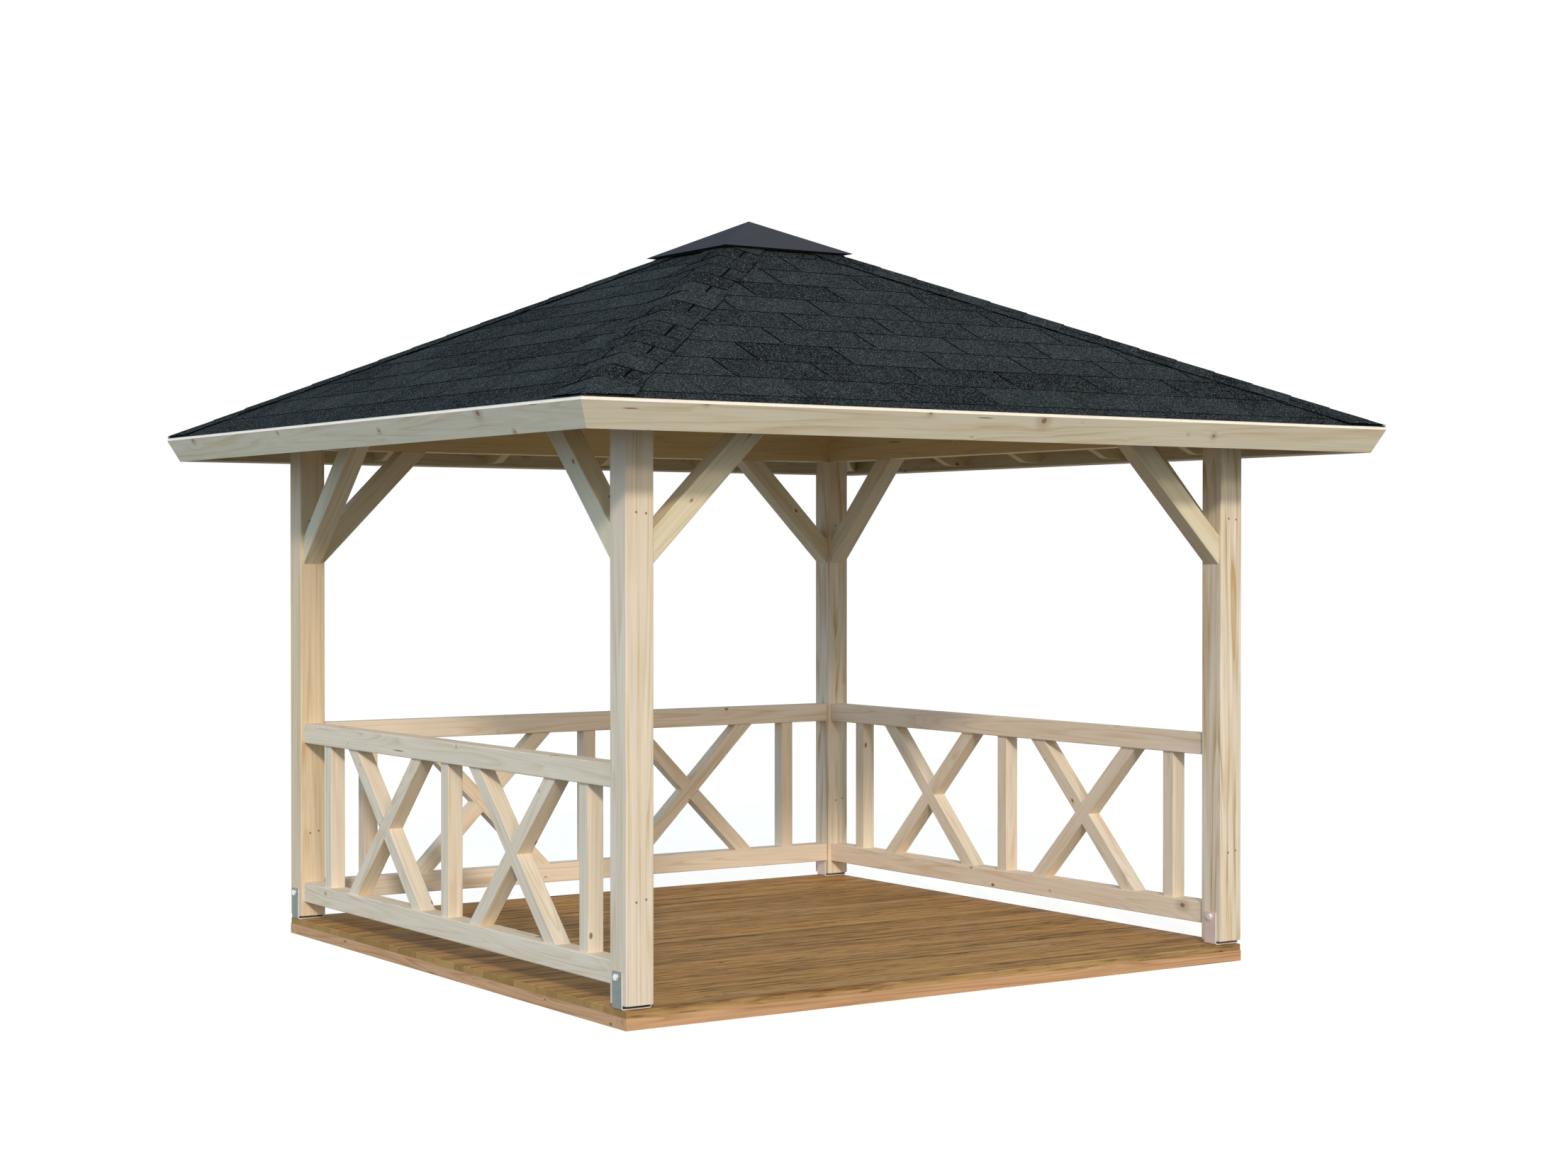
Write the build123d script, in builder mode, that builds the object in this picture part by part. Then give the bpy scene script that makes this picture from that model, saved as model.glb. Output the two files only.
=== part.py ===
"""
Open garden gazebo with a square pyramid roof.

Four square posts stand in galvanised U shoes on a boarded floor. They carry a ring of beams,
halved together over the posts and stiffened by eight knee braces. Four hip rafters meet at a
block under the peak, with jack rafters between them, a boarded roof skin, raked fascia boards,
shingles and a sheet metal cap. Three sides have a balustrade whose diagonals are halved where
they cross, and the front is open.

Millimetres, Z up. The origin is at the centre of the footprint, level with the underside of the
floor. The open front faces -Y.
"""

import os
from math import cos, radians, sin, sqrt, tan

from build123d import *

os.makedirs("parts", exist_ok=True)

# Overall sizes
footprint = 3074.0          # over the outer faces of the posts, both ways
post_length = 2150.0
roof_pitch = 25.0           # degrees
roof_overhang = 434.0       # from the post's outer face to the top edge of the fascia

# Floor
bearer_height = 45.0
bearer_width = 70.0
largest_bearer_gap = 320.0
deck_thickness = 28.0
deck_inset = 2.0            # the deck stops this far inside the bearers

# Posts and their shoes
post_width = 120.0
post_edge_radius = 6.0
shoe_sheet = 5.0
shoe_width = 70.0
shoe_leg_height = 140.0     # above the deck
shoe_inner_bend = 4.0
shoe_side_play = 0.3        # between a leg and the post
rail_rebate_play = 1.0      # round a shoe's leg that a rail is let in over
post_standoff = 12.0        # air under the post, above the shoe's base
bolt_diameter = 16.0
bolt_play = 0.5
bolt_below_leg_top = 20.0

# Ring beams and knee braces
beam_width = 90.0
beam_height = 140.0
beam_edge_radius = 5.0
brace_width = 90.0
brace_edge_radius = 5.0
brace_leg = 528.0           # from the post's face to the brace's tip, both ways

# Balustrade
rail_width = 90.0
rail_edge_radius = 5.0
bottom_rail_clearance = 82.0    # above the deck
guard_height = 904.0            # top of the top rail above the deck
baluster_width = 68.0
baluster_edge_radius = 3.0
end_baluster_gap = 209.0        # from the post's face to the end baluster
diagonal_width = 68.0
diagonal_edge_radius = 3.0

# Roof timber
rafter_width = 45.0
rafter_depth = 120.0
hip_width = 60.0
birdsmouth_heel = 28.3          # height of the plumb cut over the beam's outer face
jacks_on_each_half = (306.0, 917.0)
peak_block_width = 110.0
peak_block_drop = 30.0          # below the hips' lower edge
board_thickness = 19.0
fascia_height = 118.0
fascia_thickness = 20.0
tail_cut_above_fascia = 16.0    # the tails are cut level, above the fascia's lower back edge

# Roof covering
shingle_thickness = 8.0
shingle_setback = 6.0           # from the fascia's outer top edge
cap_half_width = 332.0
cap_sheet = 2.0
cap_lift = 18.0                 # from the shingles to the cap's outer face, square to the roof
cap_lip_setback = 30.0          # from the cap's free edge in to the lip it stands on

# Levels
half = footprint / 2
deck_top = bearer_height + deck_thickness
shoe_top = deck_top + shoe_leg_height
post_bottom = deck_top + shoe_sheet + post_standoff
beam_bottom = post_bottom + post_length
beam_top = beam_bottom + beam_height

# Places on plan
post_inner = half - post_width
post_axis = half - post_width / 2
beam_outer = post_axis + beam_width / 2
beam_inner = post_axis - beam_width / 2

# Roof lines
pitch = radians(roof_pitch)
eave_run = half + roof_overhang
rafter_underside_at_axis = beam_top - birdsmouth_heel + beam_outer * tan(pitch)
rafter_top_at_axis = rafter_underside_at_axis + rafter_depth / cos(pitch)
peak = rafter_top_at_axis + board_thickness / cos(pitch)
eave_length = eave_run / cos(pitch)
fascia_back_length = eave_length - fascia_thickness
fascia_lower_level = peak - fascia_back_length * sin(pitch) - fascia_height * cos(pitch)
tail_level = fascia_lower_level + tail_cut_above_fascia
beyond = 100.0                  # rough stock past a cut that trims it

UP = Vector(0, 0, 1)
SIDES = {
    "front": Vector(0, -1, 0),
    "left": Vector(-1, 0, 0),
    "back": Vector(0, 1, 0),
    "right": Vector(1, 0, 0),
}
CORNERS = {
    "front_left": (-1, -1),
    "front_right": (1, -1),
    "back_left": (-1, 1),
    "back_right": (1, 1),
}


def save(builder, name):
    builder.part.label = name
    export_step(builder.part, f"parts/{name}.step")


def rightwards(outward):
    """The way along a side that is to the right when it is seen from outside."""
    return UP.cross(outward)


def side_place(outward, along, out, height):
    return rightwards(outward) * along + outward * out + UP * height


def across_side(outward, along):
    """A plane square to the length of a side: its X points outwards and its Y up."""
    return Plane(side_place(outward, along, 0, 0), x_dir=outward, z_dir=outward.cross(UP))


def roof_section(outward, along):
    """A section through a roof slope: X runs down the slope from the peak, Y stands square on it."""
    down = outward * cos(pitch) - UP * sin(pitch)
    return Plane(side_place(outward, along, 0, peak), x_dir=down, z_dir=outward.cross(UP))


def mitre_to_hips(outward, setback=0.0):
    """Trim the part to one quarter of the roof, this far clear of the hip lines."""
    for turn in (1, -1):
        inward = (outward + rightwards(outward) * turn).normalized()
        split(bisect_by=Plane(inward * setback, z_dir=inward), keep=Keep.TOP)


def cut_to_slopes(peak_height):
    """Trim the part to what lies below four slopes that meet at this height."""
    for outward in SIDES.values():
        normal = outward * sin(pitch) + UP * cos(pitch)
        split(bisect_by=Plane(UP * peak_height, z_dir=normal), keep=Keep.BOTTOM)


# Floor bearers: the front and back ones run through, the others lie between them
for name in ("front", "back"):
    outward = SIDES[name]
    with BuildPart() as bearer:
        with BuildSketch(across_side(outward, -half)):
            with Locations((half - bearer_width / 2, bearer_height / 2)):
                Rectangle(bearer_width, bearer_height)
        extrude(amount=-footprint)
    save(bearer, f"floor_bearer_{name}")

inner_length = footprint - 2 * bearer_width
bearer_run = footprint - bearer_width
bearer_bays = int(bearer_run // (largest_bearer_gap + bearer_width)) + 1
with BuildPart() as joists:
    with BuildSketch(Plane.XY):
        with GridLocations(bearer_run / bearer_bays, 0, bearer_bays + 1, 1):
            Rectangle(bearer_width, inner_length)
    extrude(amount=bearer_height)
save(joists, "floor_joists")

with BuildPart() as deck:
    with BuildSketch(Plane.XY.offset(bearer_height)):
        Rectangle(footprint - 2 * deck_inset, footprint - 2 * deck_inset)
    extrude(amount=deck_thickness)
save(deck, "floor_deck")

# Posts, each bored for the bolt of its shoe
bolt_height = shoe_top - bolt_below_leg_top
for name, (x_sign, y_sign) in CORNERS.items():
    with BuildPart() as post:
        with BuildSketch(Plane.XY.offset(post_bottom)):
            with Locations((x_sign * post_axis, y_sign * post_axis)):
                RectangleRounded(post_width, post_width, post_edge_radius)
        extrude(amount=post_length)
        bore_place = (x_sign * post_axis, y_sign * post_axis, bolt_height)
        with BuildSketch(Plane(bore_place, z_dir=(1, 0, 0))):
            Circle(bolt_diameter / 2 + bolt_play)
        extrude(amount=post_width / 2, both=True, mode=Mode.SUBTRACT)
    save(post, f"post_{name}")

# Post shoes: a strip bent to a U, with its bolt through both legs and the post
leg_gap = post_width + 2 * shoe_side_play
for name, (x_sign, y_sign) in CORNERS.items():
    shoe_plane = Plane(
        (x_sign * post_axis, y_sign * post_axis, deck_top), x_dir=(1, 0, 0), z_dir=(0, -1, 0)
    )
    with BuildPart() as shoe:
        with BuildSketch(shoe_plane):
            with BuildLine():
                reach = leg_gap / 2 + shoe_sheet
                corner = shoe_inner_bend + shoe_sheet
                FilletPolyline(
                    (-reach, shoe_leg_height), (-reach, 0), (reach, 0), (reach, shoe_leg_height),
                    radius=corner,
                )
                Line((reach, shoe_leg_height), (leg_gap / 2, shoe_leg_height))
                FilletPolyline(
                    (leg_gap / 2, shoe_leg_height), (leg_gap / 2, shoe_sheet),
                    (-leg_gap / 2, shoe_sheet), (-leg_gap / 2, shoe_leg_height),
                    radius=shoe_inner_bend,
                )
                Line((-leg_gap / 2, shoe_leg_height), (-reach, shoe_leg_height))
            make_face()
        extrude(amount=shoe_width / 2, both=True)
        bolt_place = (x_sign * post_axis, y_sign * post_axis, bolt_height)
        with BuildSketch(Plane(bolt_place, z_dir=(1, 0, 0))):
            Circle(bolt_diameter / 2)
        extrude(amount=leg_gap / 2 + shoe_sheet, both=True)
    save(shoe, f"post_shoe_{name}")

# Ring beams: halved over the posts, the front and back ones below the other two
for name, outward in SIDES.items():
    lower = name in ("front", "back")
    with BuildPart() as beam:
        with BuildSketch(across_side(outward, -beam_outer)):
            with Locations((post_axis, beam_bottom + beam_height / 2)):
                RectangleRounded(beam_width, beam_height, beam_edge_radius)
        extrude(amount=-2 * beam_outer)
        notch_level = beam_bottom + beam_height / 2
        notch_side = 1 if lower else -1
        for x_sign, y_sign in CORNERS.values():
            with BuildSketch(Plane.XY.offset(notch_level)):
                with Locations((x_sign * post_axis, y_sign * post_axis)):
                    Rectangle(beam_width, beam_width)
            extrude(amount=notch_side * beam_height, mode=Mode.SUBTRACT)
    save(beam, f"ring_beam_{name}")

# Knee braces: square timber at 45 degrees, two from each post to the beams above it
brace_foot = beam_bottom - brace_leg
for name, (x_sign, y_sign) in CORNERS.items():
    with BuildPart() as braces:
        for outward, towards_middle in (
            (Vector(0, y_sign, 0), Vector(-x_sign, 0, 0)),
            (Vector(x_sign, 0, 0), Vector(0, -y_sign, 0)),
        ):
            slope = (towards_middle + UP).normalized()
            tip = outward * post_axis - towards_middle * post_inner + UP * brace_foot
            start = tip + (UP - towards_middle).normalized() * (brace_width / 2) - slope * beyond
            with BuildPart(mode=Mode.PRIVATE) as brace:
                with BuildSketch(Plane(start, x_dir=outward, z_dir=slope)):
                    RectangleRounded(brace_width, brace_width, brace_edge_radius)
                extrude(amount=brace_leg * sqrt(2) + 2 * beyond)
                split(bisect_by=Plane(tip, z_dir=towards_middle), keep=Keep.TOP)
                split(bisect_by=Plane.XY.offset(beam_bottom), keep=Keep.BOTTOM)
            add(brace.part)
    save(braces, f"knee_braces_{name}")

# Balustrades on three sides: two rails, three balusters and two crosses each
bottom_rail_level = deck_top + bottom_rail_clearance
bottom_rail_top = bottom_rail_level + rail_width
top_rail_level = deck_top + guard_height - rail_width
infill_height = top_rail_level - bottom_rail_top
end_baluster = post_inner - end_baluster_gap - baluster_width / 2
cross_centre = end_baluster / 2
cross_level = bottom_rail_top + infill_height / 2

# The shoes' legs stand on the posts' X faces, so a rail that meets those faces is rebated over them
shoe_legs_face = ("front", "back")
rebate_depth = shoe_side_play + shoe_sheet + rail_rebate_play

for name in ("left", "back", "right"):
    outward = SIDES[name]
    for rail_name, level in (("bottom", bottom_rail_level), ("top", top_rail_level)):
        with BuildPart() as rail:
            with BuildSketch(across_side(outward, -post_inner)):
                with Locations((post_axis, level + rail_width / 2)):
                    RectangleRounded(rail_width, rail_width, rail_edge_radius)
            extrude(amount=-2 * post_inner)
            if rail_name == "bottom" and name in shoe_legs_face:
                with BuildSketch(Plane.XY.offset(level)):
                    with Locations(*[(end * post_inner, outward.Y * post_axis) for end in (-1, 1)]):
                        Rectangle(2 * rebate_depth, shoe_width + 2 * rail_rebate_play)
                extrude(amount=shoe_top + rail_rebate_play - level, mode=Mode.SUBTRACT)
        save(rail, f"{rail_name}_rail_{name}")

    with BuildPart() as balusters:
        for along in (-end_baluster, 0, end_baluster):
            foot = side_place(outward, along, post_axis, bottom_rail_top)
            with BuildSketch(Plane(foot, x_dir=outward, z_dir=UP)):
                RectangleRounded(baluster_width, baluster_width, baluster_edge_radius)
            extrude(amount=infill_height)
    save(balusters, f"balusters_{name}")

    # Each diagonal keeps its outer half at the crossing in one bay, its inner half in the other
    for family, lean in (("rising", 1), ("falling", -1)):
        with BuildPart() as diagonals:
            for bay in (-1, 1):
                centre = side_place(outward, bay * cross_centre, post_axis, cross_level)
                along_bar = (rightwards(outward) * lean + UP).normalized()
                along_other = (rightwards(outward) * -lean + UP).normalized()
                bar_length = infill_height * sqrt(2) + 2 * beyond
                with BuildSketch(
                    Plane(centre - along_bar * (bar_length / 2), x_dir=outward, z_dir=along_bar)
                ):
                    RectangleRounded(diagonal_width, diagonal_width, diagonal_edge_radius)
                extrude(amount=bar_length)
                kept_side = outward * (-lean * bay)
                with BuildSketch(Plane(centre, x_dir=along_bar, z_dir=kept_side)):
                    Rectangle(diagonal_width, 2 * diagonal_width)
                extrude(amount=-diagonal_width, mode=Mode.SUBTRACT)
            split(bisect_by=Plane.XY.offset(bottom_rail_top), keep=Keep.TOP)
            split(bisect_by=Plane.XY.offset(top_rail_level), keep=Keep.BOTTOM)
        save(diagonals, f"diagonals_{family}_{name}")

# Peak block: the hips butt against its four sides, and its top takes the four slopes
hip_underside_at_block = (
    rafter_underside_at_axis - peak_block_width / 2 / sqrt(2) * tan(pitch)
)
with BuildPart() as peak_block:
    with BuildSketch(Plane.XY.offset(hip_underside_at_block - peak_block_drop)):
        Rectangle(peak_block_width, peak_block_width, rotation=45)
    extrude(amount=peak - hip_underside_at_block + beyond)
    cut_to_slopes(rafter_top_at_axis)
save(peak_block, "peak_block")

# Hip rafters: backed to both slopes, notched over the corner of the ring beams
for name, (x_sign, y_sign) in CORNERS.items():
    diagonal = Vector(x_sign, y_sign, 0).normalized()
    side_view = Plane((0, 0, 0), x_dir=diagonal, z_dir=diagonal.cross(UP))
    fall = tan(pitch) / sqrt(2)
    tail = (eave_run + beyond) * sqrt(2)
    head = peak_block_width / 2
    with BuildPart() as hip:
        with BuildSketch(side_view):
            with BuildLine():
                Polyline(
                    (head, rafter_underside_at_axis - head * fall),
                    (tail, rafter_underside_at_axis - tail * fall),
                    (tail, rafter_top_at_axis - tail * fall + beyond),
                    (head, rafter_top_at_axis - head * fall + beyond),
                    close=True,
                )
            make_face()
        extrude(amount=hip_width / 2, both=True)
        cut_to_slopes(rafter_top_at_axis)
        for outward in (Vector(x_sign, 0, 0), Vector(0, y_sign, 0)):
            section = roof_section(outward, 0)
            back_of_fascia = section.origin + section.x_dir * fascia_back_length
            split(bisect_by=Plane(back_of_fascia, z_dir=section.x_dir), keep=Keep.BOTTOM)
        split(bisect_by=Plane.XY.offset(tail_level), keep=Keep.TOP)
        with BuildSketch(Plane.XY.offset(beam_bottom)):
            with Locations((x_sign * post_axis, y_sign * post_axis)):
                Rectangle(beam_width, beam_width)
        extrude(amount=beam_height, mode=Mode.SUBTRACT)
    save(hip, f"hip_rafter_{name}")

# Jack rafters: cut to the side of the hip at the top, notched over the ring beam
for name, outward in SIDES.items():
    jack_places = sorted([-place for place in jacks_on_each_half] + list(jacks_on_each_half))
    with BuildPart() as jacks:
        for along in jack_places:
            with BuildSketch(roof_section(outward, along)):
                with Locations((0, -board_thickness - rafter_depth / 2)):
                    Rectangle(fascia_back_length, rafter_depth, align=(Align.MIN, Align.CENTER))
            extrude(amount=rafter_width / 2, both=True)
            with BuildSketch(across_side(outward, along)):
                with Locations((post_axis, beam_bottom)):
                    Rectangle(beam_width, beam_height, align=(Align.CENTER, Align.MIN))
            extrude(amount=rafter_width, both=True, mode=Mode.SUBTRACT)
        split(bisect_by=Plane.XY.offset(tail_level), keep=Keep.TOP)
        mitre_to_hips(outward, hip_width / 2)
    save(jacks, f"jack_rafters_{name}")

# Roof skin, fascia and shingles: one profile for each side, mitred along the hips
for name, outward in SIDES.items():
    with BuildPart() as skin:
        with BuildSketch(roof_section(outward, 0)):
            with Locations((-beyond, -board_thickness / 2)):
                Rectangle(
                    fascia_back_length + beyond, board_thickness, align=(Align.MIN, Align.CENTER)
                )
        extrude(amount=eave_run, both=True)
        mitre_to_hips(outward)
    save(skin, f"roof_boards_{name}")

    with BuildPart() as fascia:
        with BuildSketch(roof_section(outward, 0)):
            with Locations((eave_length - fascia_thickness / 2, -fascia_height / 2)):
                Rectangle(fascia_thickness, fascia_height)
        extrude(amount=eave_run, both=True)
        mitre_to_hips(outward)
    save(fascia, f"fascia_{name}")

    with BuildPart() as shingles:
        with BuildSketch(roof_section(outward, 0)):
            with Locations((-beyond, shingle_thickness / 2)):
                Rectangle(
                    eave_length - shingle_setback + beyond, shingle_thickness,
                    align=(Align.MIN, Align.CENTER),
                )
        extrude(amount=eave_run, both=True)
        mitre_to_hips(outward)
    save(shingles, f"shingles_{name}")

# Peak cap: a folded sheet pyramid with a free edge, which stands on the shingles
# on a lip that is set back under it
shingle_peak = peak + shingle_thickness / cos(pitch)
cap_peak = shingle_peak + cap_lift / cos(pitch)
cap_edge_level = cap_peak - cap_half_width * tan(pitch)
shingle_level_at_edge = shingle_peak - cap_half_width * tan(pitch)
with BuildPart() as cap:
    with BuildSketch(Plane.XY.offset(shingle_level_at_edge - beyond)):
        Rectangle(2 * cap_half_width, 2 * cap_half_width)
    extrude(amount=cap_peak - shingle_level_at_edge + 2 * beyond)
    cut_to_slopes(cap_peak)
    lip_out = 2 * (cap_half_width - cap_lip_setback)
    lip_in = lip_out - 2 * cap_sheet
    with BuildPart(mode=Mode.PRIVATE) as hollow:
        with BuildSketch(Plane.XY.offset(shingle_level_at_edge - 2 * beyond)):
            Rectangle(4 * cap_half_width, 4 * cap_half_width)
        extrude(amount=cap_peak)
        cut_to_slopes(cap_peak - cap_sheet / cos(pitch))
        with BuildSketch(Plane.XY.offset(shingle_level_at_edge - 2 * beyond)):
            Rectangle(lip_out, lip_out)
            Rectangle(lip_in, lip_in, mode=Mode.SUBTRACT)
        extrude(amount=cap_peak, mode=Mode.SUBTRACT)
    with BuildPart(mode=Mode.PRIVATE) as roof_below:
        with BuildSketch(Plane.XY):
            Rectangle(4 * cap_half_width, 4 * cap_half_width)
        extrude(amount=2 * peak)
        cut_to_slopes(shingle_peak)
    add(hollow.part, mode=Mode.SUBTRACT)
    add(roof_below.part, mode=Mode.SUBTRACT)
save(cap, "roof_cap")
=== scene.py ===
import math
import random

import bpy
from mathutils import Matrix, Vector


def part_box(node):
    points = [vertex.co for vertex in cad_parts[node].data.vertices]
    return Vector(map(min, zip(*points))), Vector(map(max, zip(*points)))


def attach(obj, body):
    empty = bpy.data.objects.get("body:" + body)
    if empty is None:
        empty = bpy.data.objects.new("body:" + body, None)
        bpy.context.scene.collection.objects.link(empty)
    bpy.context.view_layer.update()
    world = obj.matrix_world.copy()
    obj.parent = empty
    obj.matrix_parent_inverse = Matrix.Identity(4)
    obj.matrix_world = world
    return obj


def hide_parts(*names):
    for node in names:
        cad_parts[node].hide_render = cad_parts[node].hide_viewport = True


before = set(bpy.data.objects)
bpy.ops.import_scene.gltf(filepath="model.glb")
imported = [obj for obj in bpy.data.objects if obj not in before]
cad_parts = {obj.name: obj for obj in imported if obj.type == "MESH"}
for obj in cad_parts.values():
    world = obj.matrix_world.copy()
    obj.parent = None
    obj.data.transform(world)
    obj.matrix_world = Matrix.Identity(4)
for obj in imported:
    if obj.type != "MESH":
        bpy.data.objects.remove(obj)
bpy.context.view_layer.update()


# Camera
# The gazebo is seen from the front left corner, at standing eye height and
# through a long lens, as it is in the photograph.
bpy.ops.object.select_all(action="DESELECT")
bpy.ops.object.camera_add(
    location=(-6.4311, -9.8950, 1.7428),
    rotation=(math.radians(89.332), 0.0, math.radians(-33.785)),
)
camera = bpy.context.object
camera.name = "camera"
camera.data.sensor_width = 36.0
camera.data.lens = 60.53
bpy.context.scene.camera = camera


# Studio light
# Two broad warm lamps stand low on the front left, and a pale room fills in
# the shade. They are set so that a colour shows about as it is written.
def linear(colour):
    """Turns an sRGB hex colour to the linear one that lamps and shaders take."""
    parts = [int(colour[i:i + 2], 16) / 255 for i in (1, 3, 5)]
    return [c / 12.92 if c <= 0.04045 else ((c + 0.055) / 1.055) ** 2.4 for c in parts]


def add(owner, kind, feeds=None, **settings):
    """Adds one node with its settings and with what feeds its sockets."""
    node = owner.node_tree.nodes.new(kind)
    for name, value in settings.items():
        setattr(node, name, value)
    for socket, value in (feeds or {}).items():
        if isinstance(value, bpy.types.NodeSocket):
            owner.node_tree.links.new(value, node.inputs[socket])
        elif node.inputs[socket].type == "RGBA":
            node.inputs[socket].default_value = [*value[:3], 1.0]
        else:
            node.inputs[socket].default_value = value
    return node


def seen_directly(owner):
    """1 for rays from the camera, and for those that a mirror or glass sends on."""
    rays = add(owner, "ShaderNodeLightPath").outputs
    seen = add(owner, "ShaderNodeMath", {
        0: rays["Is Camera Ray"], 1: rays["Is Glossy Ray"]}, operation="MAXIMUM").outputs[0]
    return add(owner, "ShaderNodeMath", {
        0: seen, 1: rays["Is Transmission Ray"]}, operation="MAXIMUM").outputs[0]


lamp_distance = 12
# How far each lamp stands to the left and up, and how wide it looks, all in
# degrees, then its power and colour. The second is so low that it reaches in
# under the eaves.
lamps = {
    "key_lamp": (30.4, 25.8, 5, 1.70, "#FFF1E3"),
    "low_lamp": (12.0, 17.0, 6, 0.47, "#FFEBD8"),
}
for name, (turn, height, disc, power, tint) in lamps.items():
    turn, height = math.radians(turn), math.radians(height)
    to_lamp = Vector((
        -math.sin(turn) * math.cos(height), -math.cos(turn) * math.cos(height), math.sin(height)))
    bpy.ops.object.light_add(type="SUN", location=to_lamp * lamp_distance)
    lamp = bpy.context.object
    lamp.name = name
    lamp.rotation_euler = to_lamp.to_track_quat("Z", "Y").to_euler()
    lamp.data.angle = math.radians(disc)
    lamp.data.energy = power
    lamp.data.color = linear(tint)

room = bpy.data.worlds.new("pale room")
room.use_nodes = True
room.node_tree.nodes.clear()
bpy.context.scene.world = room
# The room is cool on the left and overhead. It is brightest on the left, and
# dimmest overhead.
aim = add(room, "ShaderNodeTexCoord").outputs["Generated"]
aim = add(room, "ShaderNodeSeparateXYZ", {0: aim}).outputs
height = add(room, "ShaderNodeMapRange", {0: aim[2], 1: 0.15, 2: 0.7, 3: 0.0, 4: 1.0},
             interpolation_type="SMOOTHSTEP").outputs[0]
leftward = add(room, "ShaderNodeMapRange", {0: aim[0], 1: -0.1, 2: -0.9, 3: 0.0, 4: 1.0},
               interpolation_type="SMOOTHSTEP").outputs[0]
cool = add(room, "ShaderNodeMath", {0: height, 1: leftward}, operation="MAXIMUM").outputs[0]
glow = add(room, "ShaderNodeMix", {0: cool, 6: linear("#F6F5E6"), 7: linear("#BFDFFF")},
           data_type="RGBA").outputs[2]
power = add(room, "ShaderNodeMath", {0: height, 1: leftward}, operation="SUBTRACT").outputs[0]
power = add(room, "ShaderNodeMapRange", {
    0: power, 1: -1.0, 2: 1.0, 3: 1.45, 4: 0.5}).outputs[0]
fill = add(room, "ShaderNodeBackground", {"Color": glow, "Strength": power})
backdrop = add(room, "ShaderNodeBackground", {"Color": (1.0, 1.0, 1.0), "Strength": 1.0})
shown = add(room, "ShaderNodeMixShader", {
    0: seen_directly(room), 1: fill.outputs[0], 2: backdrop.outputs[0]})
add(room, "ShaderNodeOutputWorld", {"Surface": shown.outputs[0]})
bpy.context.scene.view_settings.view_transform = "Standard"


# Studio floor
# A plain pale floor that runs into the backdrop. The camera sees it as white,
# with the gazebo's own soft shadow on it.
def bare_material(name):
    """A new material without any nodes yet."""
    material = bpy.data.materials.new(name)
    material.use_nodes = True
    material.node_tree.nodes.clear()
    return material


floor_size = 160
bpy.ops.mesh.primitive_plane_add(size=floor_size, location=(0, 0, 0))
floor = bpy.context.object
floor.name = "studio_floor"
floor_paint = bare_material("pale studio floor")
lit = add(floor_paint, "ShaderNodeBsdfDiffuse", {"Color": (0.30, 0.28, 0.24)})
white = add(floor_paint, "ShaderNodeEmission", {"Color": (1.0, 1.0, 1.0), "Strength": 0.85})
both = add(floor_paint, "ShaderNodeAddShader", {0: lit.outputs[0], 1: white.outputs[0]})
bounce = add(floor_paint, "ShaderNodeBsdfDiffuse", {"Color": (0.21, 0.21, 0.19)})
mixed = add(floor_paint, "ShaderNodeMixShader", {
    0: seen_directly(floor_paint), 1: bounce.outputs[0], 2: both.outputs[0]})
add(floor_paint, "ShaderNodeOutputMaterial", {"Surface": mixed.outputs[0]})
floor.data.materials.append(floor_paint)


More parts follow.
